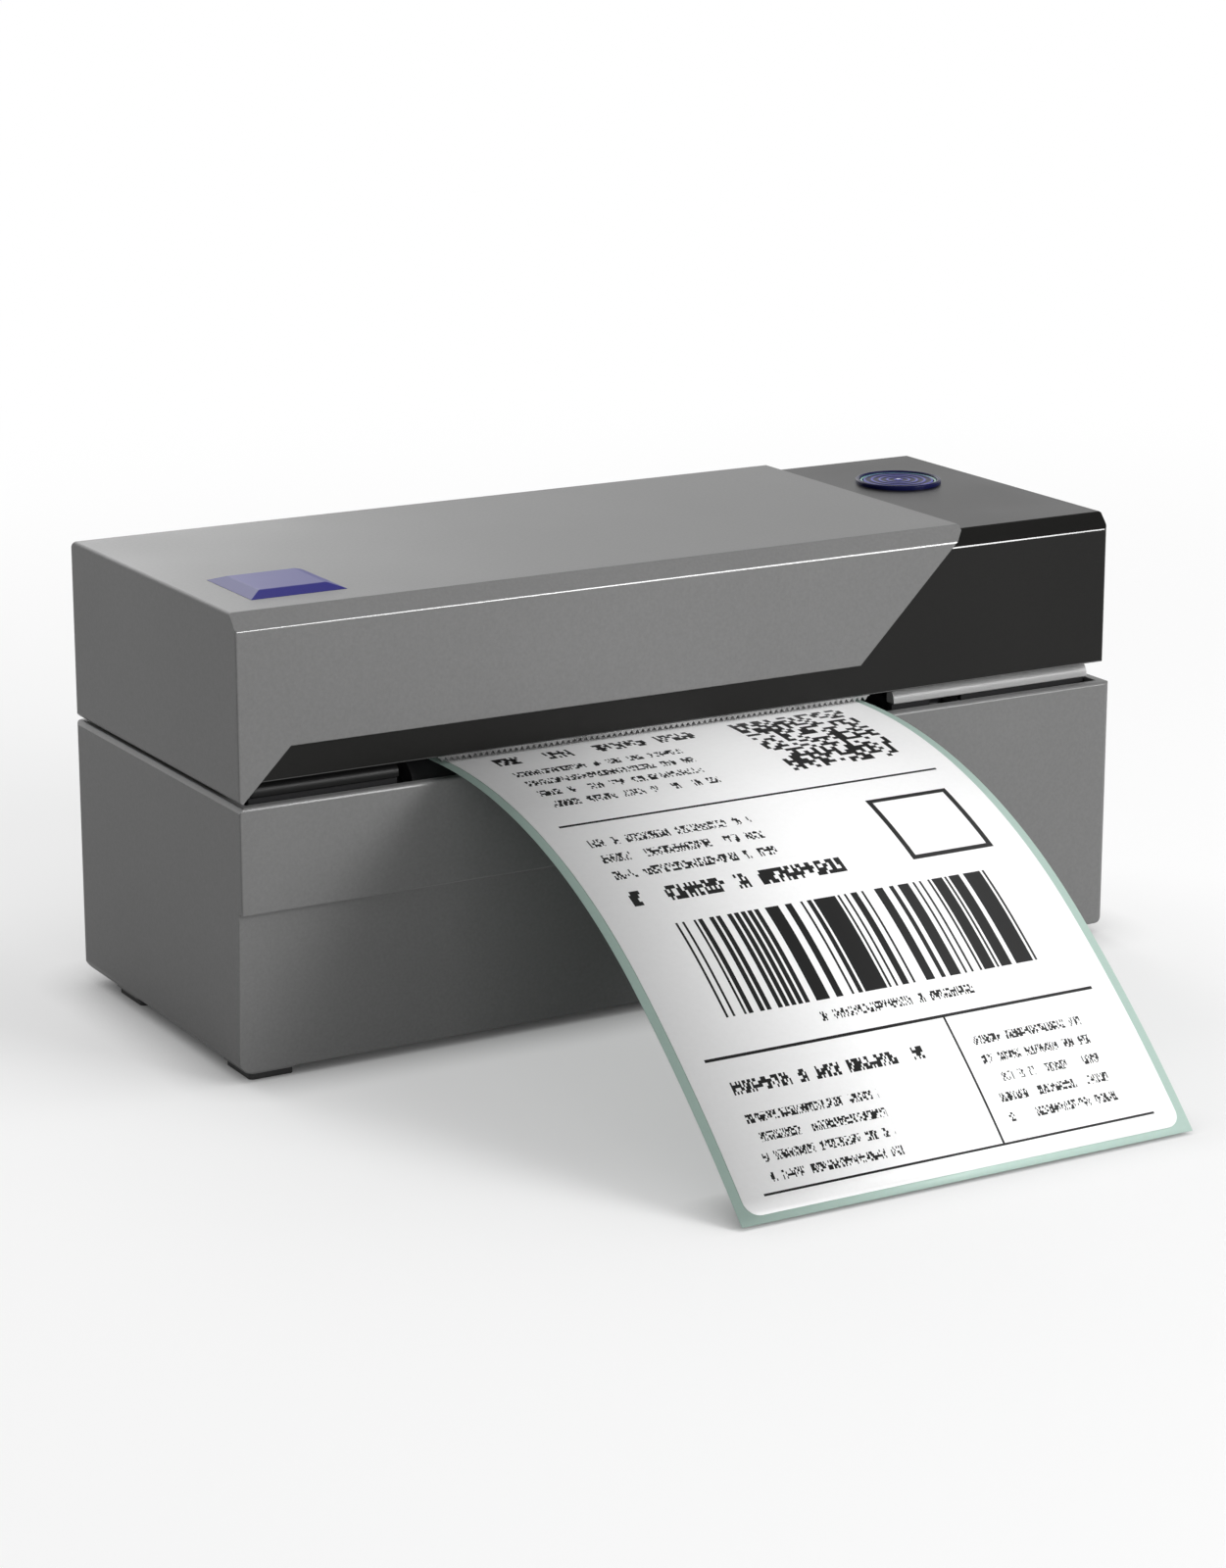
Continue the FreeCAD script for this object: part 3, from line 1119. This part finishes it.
def lid_frame():
    depth = COVER_WALL + FRAME_WALL
    skirt = LID_BOTTOM + FRAME_SKIRT_RISE
    shell = lid_solid(COVER_WALL, FRAME_LEFT, FRAME_RIGHT, skirt)
    corners = prism("z", [
        (FRAME_LEFT, FRAME_FRONT), (FRAME_RIGHT, FRAME_FRONT, CAP_FRONT_RADIUS),
        (FRAME_RIGHT, FRAME_BACK, BACK_CORNER_RADIUS), (FRAME_LEFT, FRAME_BACK, BACK_CORNER_RADIUS)],
        skirt, FRAME_TOP)
    shell = shell.common(corners)
    room = lid_solid(depth, FRAME_LEFT + FRAME_WALL, FRAME_RIGHT - FRAME_WALL, skirt - WALL)
    front_gap = box(FRAME_LEFT, FRAME_RIGHT, FRAME_FRONT, FINGER_GAP_END_Y, skirt, BAND_Z)
    front_edge = prism("x", [
        (FRAME_FRONT, FRAME_TOP - CAP_CHAMFER_DROP), (FRAME_FRONT + CAP_CHAMFER_DEPTH, FRAME_TOP),
        (FRAME_FRONT, FRAME_TOP)], FRAME_LEFT, FRAME_RIGHT)
    shell = shell.cut([room, front_gap, front_edge])
    posts = [rod_z(BOSS_RADIUS, INNER_COVER_BOTTOM + INNER_COVER_THICKNESS, CEILING + FRAME_WALL / 2, x, y)
             for x, y in LID_SCREWS]
    posts += [rod_z(BUTTON_POST_RADIUS, BUTTON_BOARD_Z + BOARD_THICKNESS, CEILING + FRAME_WALL / 2, x, y)
              for x, y in BUTTON_SCREWS]
    lugs = []
    for x in HINGES:
        x0, x1 = lid_lug_span(x)
        lugs.append(rod_x(LUG_RADIUS, x0, x1, HINGE_Y, HINGE_Z))
        lugs.append(prism("x", [
            (BACK, HINGE_Z), (BACK + LUG_RADIUS, HINGE_Z), (BACK + LUG_RADIUS, HINGE_Z + LUG_RADIUS),
            (BACK, HINGE_Z + LUG_ROOT), (FRAME_BACK - FRAME_WALL / 2, HINGE_Z + LUG_ROOT),
            (FRAME_BACK - FRAME_WALL / 2, HINGE_Z + LUG_RADIUS)], x0, x1))
    shell = fuse([shell.cut(hinge_reliefs())] + posts + lugs)
    cuts = [inlet(BACK - 2 * depth)]
    cuts += [rod_x(HINGE_PIN_RADIUS + RUNNING_CLEARANCE, *lid_lug_span(x), HINGE_Y, HINGE_Z) for x in HINGES]
    cuts.append(rod_z(light_ring_radius() + RUNNING_CLEARANCE, CEILING, FRAME_TOP, BUTTON_X, BUTTON_Y))
    post_foot = INNER_COVER_BOTTOM + INNER_COVER_THICKNESS
    cuts += [screw_hole(x, y, post_foot, post_foot + SCREW_LENGTH) for x, y in LID_SCREWS]
    board_top = BUTTON_BOARD_Z + BOARD_THICKNESS
    cuts += [screw_hole(x, y, board_top, board_top + SMALL_SCREW_LENGTH) for x, y in BUTTON_SCREWS]
    cuts.append(tear_bar_blank())
    return shell.cut(cuts)


def badge_plate():
    low = HEIGHT
    half = BADGE_SIZE / 2
    top = half - BADGE_BEVEL
    wires = []
    for z, reach in ((low, half), (low + BADGE_HEIGHT, top)):
        ring = [V(BADGE_X - reach, BADGE_Y - reach, z), V(BADGE_X + reach, BADGE_Y - reach, z),
                V(BADGE_X + reach, BADGE_Y + reach, z), V(BADGE_X - reach, BADGE_Y + reach, z)]
        wires.append(Part.makePolygon(ring + ring[:1]))
    return Part.makeLoft(wires, True, True)


def tear_bar_y():
    front = FRAME_FRONT + TEAR_BAR_SET_BACK
    return front, front + TEAR_BAR_THICKNESS


def tear_bar_x():
    half = LINER_HALF_WIDTH + TEAR_BAR_OVERHANG
    return LABEL_CENTRE_X - half, LABEL_CENTRE_X + half


def tear_bar_blank():
    low = BAND_Z - TEAR_BAR_DROP
    return box(*tear_bar_x(), *tear_bar_y(), low, low + TEAR_BAR_HEIGHT)


def tear_bar():
    """Steel strip let into the band, with a row of teeth along its lower edge."""
    low = BAND_Z - TEAR_BAR_DROP
    left, right = tear_bar_x()
    count = int((right - left) / TOOTH_PITCH)
    margin = (right - left - count * TOOTH_PITCH) / 2
    outline = [(right, low + TEAR_BAR_HEIGHT), (left, low + TEAR_BAR_HEIGHT), (left, low + TOOTH_DEPTH)]
    for i in range(count):
        x = left + margin + i * TOOTH_PITCH
        outline += [(x, low + TOOTH_DEPTH), (x + TOOTH_PITCH / 2, low)]
    outline += [(right - margin, low + TOOTH_DEPTH), (right, low + TOOTH_DEPTH)]
    points = [p for i, p in enumerate(outline) if i == 0 or math.dist(p, outline[i - 1]) > TOUCH]
    return prism("y", points, *tear_bar_y())


def lid_inner_cover():
    margin = FRAME_WALL + INNER_COVER_MARGIN
    plate = box(FRAME_LEFT + margin, FRAME_RIGHT - margin, FRAME_FRONT + margin, FRAME_BACK - margin,
                INNER_COVER_BOTTOM, INNER_COVER_BOTTOM + INNER_COVER_THICKNESS)
    places = LID_SCREWS + HEAD_SCREWS
    return plate.cut([screw_hole(x, y, INNER_COVER_BOTTOM, INNER_COVER_BOTTOM + INNER_COVER_THICKNESS)
                      for x, y in places])


def lid_screws():
    return [screw(x, y, INNER_COVER_BOTTOM, SCREW_LENGTH, up=True) for x, y in LID_SCREWS]


def snap_tongues():
    tongues = []
    low = DECK_BOTTOM - TONGUE_REACH
    for x in TONGUES:
        side = 1 if x > 0 else -1
        half = TONGUE_THICKNESS / 2
        bead_x = x + side * half
        middle = (TONGUE_FRONT_Y + TONGUE_BACK_Y) / 2
        foot = TONGUE_FOOT_WIDTH / 2
        tongues.append(fuse([
            box(x - half, x + half, TONGUE_FRONT_Y, TONGUE_BACK_Y, low, INNER_COVER_BOTTOM),
            box(x - foot, x + foot, middle - foot, middle + foot,
                INNER_COVER_BOTTOM - TONGUE_FOOT_THICKNESS, INNER_COVER_BOTTOM),
            rod_y(BEAD_RADIUS, TONGUE_FRONT_Y, TONGUE_BACK_Y, bead_x, low + 2 * BEAD_RADIUS),
        ]))
    return tongues


# Printhead

HEAD_LEFT = LABEL_CENTRE_X - LINER_HALF_WIDTH - HEAT_SINK_OVERHANG
HEAD_RIGHT = LABEL_CENTRE_X + LINER_HALF_WIDTH + HEAT_SINK_OVERHANG
HEAD_FRONT = PLATEN_Y - HEAT_SINK_FRONT
HEAD_BACK = HEAD_FRONT + HEAT_SINK_DEPTH
HEAD_PINS = (HEAD_LEFT + HEAD_PIN_INSET, HEAD_RIGHT - HEAD_PIN_INSET)


def heat_sink():
    block = box(HEAD_LEFT, HEAD_RIGHT, HEAD_FRONT, HEAD_BACK, HEAT_SINK_BOTTOM, HEAT_SINK_TOP)
    grooves = []
    for y in (HEAD_FRONT + HEAT_SINK_GROOVE, HEAD_BACK - 2 * HEAT_SINK_GROOVE):
        grooves.append(box(HEAD_LEFT, HEAD_RIGHT, y, y + HEAT_SINK_GROOVE,
                           HEAT_SINK_TOP - HEAT_SINK_HEIGHT / 2, HEAT_SINK_TOP))
    holes = [rod_z(HEAD_PIN_RADIUS + RUNNING_CLEARANCE, HEAT_SINK_BOTTOM, HEAT_SINK_TOP, x, PLATEN_Y)
             for x in HEAD_PINS]
    return block.cut(grooves + holes)


def print_line():
    """Ceramic heater plate under the heat sink."""
    half_x = LABEL_WIDTH / 2
    half_y = PRINT_LINE_DEPTH / 2
    return box(LABEL_CENTRE_X - half_x, LABEL_CENTRE_X + half_x, PLATEN_Y - half_y, PLATEN_Y + half_y,
               HEAD_BOTTOM, HEAT_SINK_BOTTOM)


def printhead_bracket():
    x0 = HEAD_LEFT - HEAD_SIDE_GAP - BRACKET_THICKNESS
    x1 = HEAD_RIGHT + HEAD_SIDE_GAP + BRACKET_THICKNESS
    plate = box(x0, x1, HEAD_FRONT, HEAD_BACK, BRACKET_BOTTOM, INNER_COVER_BOTTOM)
    ear_bottom = BRACKET_BOTTOM - HEAD_EAR_HEIGHT
    ears = [box(x, x + BRACKET_THICKNESS, HEAD_FRONT, HEAD_BACK, ear_bottom, BRACKET_BOTTOM)
            for x in (x0, x1 - BRACKET_THICKNESS)]
    holes = [screw_hole(x, y, BRACKET_BOTTOM, INNER_COVER_BOTTOM) for x, y in HEAD_SCREWS]
    return fuse([plate] + ears).cut(holes)


def head_screws():
    return [screw(x, y, BRACKET_BOTTOM, SMALL_SCREW_LENGTH, up=True) for x, y in HEAD_SCREWS]


def head_guide_pins():
    low = HEAT_SINK_BOTTOM + HEAD_LIFT + HEAD_PIN_END_GAP
    return [rod_z(HEAD_PIN_RADIUS, low, BRACKET_BOTTOM, x, PLATEN_Y) for x in HEAD_PINS]


def printhead_springs():
    return [coil(LABEL_CENTRE_X + i * HEAD_SPRING_PITCH, PLATEN_Y, HEAT_SINK_TOP, BRACKET_BOTTOM,
                 SPRING_COIL_RADIUS, SPRING_WIRE_RADIUS, SPRING_TURNS) for i in (-1, 0, 1)]


# Button

def light_ring_radius():
    return BEZEL_RADIUS - BEZEL_WALL


def cap_radius():
    return light_ring_radius() - LIGHT_RING_WALL - BUTTON_GAP


def button_ring(outer, wall, z0, z1):
    return rod_z(outer, z0, z1, BUTTON_X, BUTTON_Y).cut(rod_z(outer - wall, z0, z1, BUTTON_X, BUTTON_Y))


def button_bezel():
    ring = button_ring(BEZEL_RADIUS, BEZEL_WALL - RUNNING_CLEARANCE, FRAME_TOP, FRAME_TOP + BEZEL_HEIGHT)
    rims = [edge for edge in ring.Edges if edge.BoundBox.ZMin > FRAME_TOP + BEZEL_HEIGHT / 2 and edge.Closed]
    return ring.makeFillet(BEZEL_ROUNDING, rims)


def button_light_ring():
    top = FRAME_TOP + LIGHT_RING_RISE
    return button_ring(light_ring_radius(), LIGHT_RING_WALL, top - LIGHT_RING_DEPTH, top)


def button_cap_bottom():
    return FRAME_TOP + BUTTON_RISE - BUTTON_THICKNESS


def feed_button():
    top = FRAME_TOP + BUTTON_RISE
    bottom = button_cap_bottom()
    cap = rod_z(cap_radius(), bottom, top, BUTTON_X, BUTTON_Y)
    grooves = [button_ring(r, BUTTON_GROOVE_WIDTH, top - BUTTON_GROOVE_DEPTH, top) for r in BUTTON_GROOVES]
    stem = rod_z(BUTTON_STEM_RADIUS, bottom - STEM_LENGTH, bottom, BUTTON_X, BUTTON_Y)
    dot = rod_z(BUTTON_DOT_RADIUS, top, top + BUTTON_DOT_HEIGHT, BUTTON_X, BUTTON_Y)
    return fuse([cap.cut(grooves), stem, dot])


def switch_plunger():
    top = button_cap_bottom() - STEM_LENGTH
    return rod_z(PLUNGER_RADIUS, top - PLUNGER_LENGTH, top, BUTTON_X, BUTTON_Y)


def button_switch():
    low = BUTTON_BOARD_Z + BOARD_THICKNESS
    half = SWITCH_SIZE / 2
    body = box(BUTTON_X - half, BUTTON_X + half, BUTTON_Y - half, BUTTON_Y + half, low, low + SWITCH_HEIGHT)
    well_floor = button_cap_bottom() - STEM_LENGTH - PLUNGER_LENGTH - BUTTON_TRAVEL - BUTTON_GAP
    well = rod_z(PLUNGER_RADIUS + 2 * RUNNING_CLEARANCE, well_floor, low + SWITCH_HEIGHT, BUTTON_X, BUTTON_Y)
    return body.cut(well)


def button_board():
    half = BUTTON_BOARD_HALF
    low = BUTTON_BOARD_Z
    high = BUTTON_BOARD_Z + BOARD_THICKNESS
    board = box(BUTTON_X - half, BUTTON_X + half, BUTTON_Y - half, BUTTON_Y + half, low, high)
    return board.cut([screw_hole(x, y, low, high) for x, y in BUTTON_SCREWS])


def button_screws():
    return [screw(x, y, BUTTON_BOARD_Z, SMALL_SCREW_LENGTH, up=True) for x, y in BUTTON_SCREWS]


def button_spring():
    return coil(BUTTON_X, BUTTON_Y, BUTTON_BOARD_Z + BOARD_THICKNESS, button_cap_bottom(),
                BUTTON_SPRING_COIL_RADIUS, BUTTON_SPRING_WIRE_RADIUS, SPRING_TURNS)


# Label

def sheet_point(angle, rise):
    """Point of the label's path at an angle below level, at a rise over the path's under side."""
    first = math.radians(FIRST_BEND_ANGLE)
    centre_y = LABEL_EXIT_Y
    centre_z = PATH_Z - FIRST_BEND_RADIUS
    radius = FIRST_BEND_RADIUS
    if angle > first:
        shift = FIRST_BEND_RADIUS - SECOND_BEND_RADIUS
        centre_y -= shift * math.sin(first)
        centre_z += shift * math.cos(first)
        radius = SECOND_BEND_RADIUS
    return centre_y - (radius + rise) * math.sin(angle), centre_z + (radius + rise) * math.cos(angle)


def free_length():
    return (FIRST_BEND_RADIUS * math.radians(FIRST_BEND_ANGLE)
            + SECOND_BEND_RADIUS * math.radians(SECOND_BEND_ANGLE))


def sheet(half_width, end_margin, low, high):
    """Bent sheet from its tail behind the platen to its free end, between two rises over the path."""
    first = math.radians(FIRST_BEND_ANGLE)
    last = first + math.radians(SECOND_BEND_ANGLE) - end_margin / SECOND_BEND_RADIUS
    liner_length = LABEL_LENGTH + 2 * LINER_END_MARGIN
    tail_y = LABEL_EXIT_Y + liner_length - free_length() - end_margin
    x = LABEL_CENTRE_X - half_width

    def at(angle, rise):
        return V(x, *sheet_point(angle, rise))

    def line(start, end):
        return Part.LineSegment(start, end).toShape()

    def bend(start, end, rise):
        return Part.Arc(at(start, rise), at((start + end) / 2, rise), at(end, rise)).toShape()

    tail_low = V(x, tail_y, PATH_Z + low)
    tail_high = V(x, tail_y, PATH_Z + high)
    wire = Part.Wire([
        line(tail_low, at(0.0, low)), bend(0.0, first, low), bend(first, last, low),
        line(at(last, low), at(last, high)), bend(last, first, high), bend(first, 0.0, high),
        line(at(0.0, high), tail_high), line(tail_high, tail_low)])
    return Part.Face(wire).extrude(V(2 * half_width, 0, 0))


def label_liner():
    return sheet(LINER_HALF_WIDTH, 0.0, 0.0, SHEET_THICKNESS)


def label_face():
    low = SHEET_THICKNESS + ADHESIVE_GAP
    face = sheet(LABEL_WIDTH / 2, LINER_END_MARGIN, low, low + SHEET_THICKNESS)
    corners = [edge for edge in face.Edges if edge.Length < 2 * SHEET_THICKNESS]
    return face.makeFillet(LABEL_CORNER_RADIUS, corners)


NODES = {
    "base_shell": base_shell, "rubber_feet": rubber_feet, "hinge_pins": hinge_pins,
    "base_deck": base_deck, "deck_screws": deck_screws,
    "slot_rail_left": lambda: slot_rail(LEFT_RAIL_X), "slot_rail_right": lambda: slot_rail(RIGHT_RAIL_X),
    "media_table": media_table, "label_sensor": label_sensor,
    "media_guide_left": lambda: media_guide(-1), "media_guide_right": lambda: media_guide(1),
    "guide_pinion": guide_pinion,
    "platen_shaft": platen_shaft, "platen_sleeve": platen_sleeve, "platen_bushings": platen_bushings,
    "platen_gear": platen_gear, "reduction_gear": reduction_gear, "reduction_axle": reduction_axle,
    "stepper_motor": stepper_motor, "motor_shaft": motor_shaft, "motor_pinion": motor_pinion,
    "motor_bracket": motor_bracket, "motor_screws": motor_screws, "bracket_screws": bracket_screws,
    "main_board": main_board, "board_chips": board_chips, "board_screws": board_screws,
    "usb_socket": usb_socket, "dc_power_jack": dc_power_jack,
    "switch_housing": switch_housing, "power_rocker": power_rocker,
    "lid_cover": lid_cover, "lid_frame": lid_frame, "badge_plate": badge_plate, "tear_bar": tear_bar,
    "lid_inner_cover": lid_inner_cover, "lid_screws": lid_screws, "snap_tongues": snap_tongues,
    "printhead_bracket": printhead_bracket, "head_screws": head_screws, "head_guide_pins": head_guide_pins,
    "printhead_springs": printhead_springs, "heat_sink": heat_sink, "print_line": print_line,
    "button_bezel": button_bezel, "button_light_ring": button_light_ring, "feed_button": feed_button,
    "switch_plunger": switch_plunger, "button_switch": button_switch, "button_board": button_board,
    "button_screws": button_screws, "button_spring": button_spring,
    "label_liner": label_liner, "label_face": label_face,
}

for name, make in NODES.items():
    made = make()
    solids = made if isinstance(made, list) else made.Solids
    shape = solids[0] if len(solids) == 1 else Part.makeCompound(solids)
    shape.exportStep(f"parts/{name}.step")
    print(name, len(shape.Solids), round(shape.Volume, 1), shape.isValid())
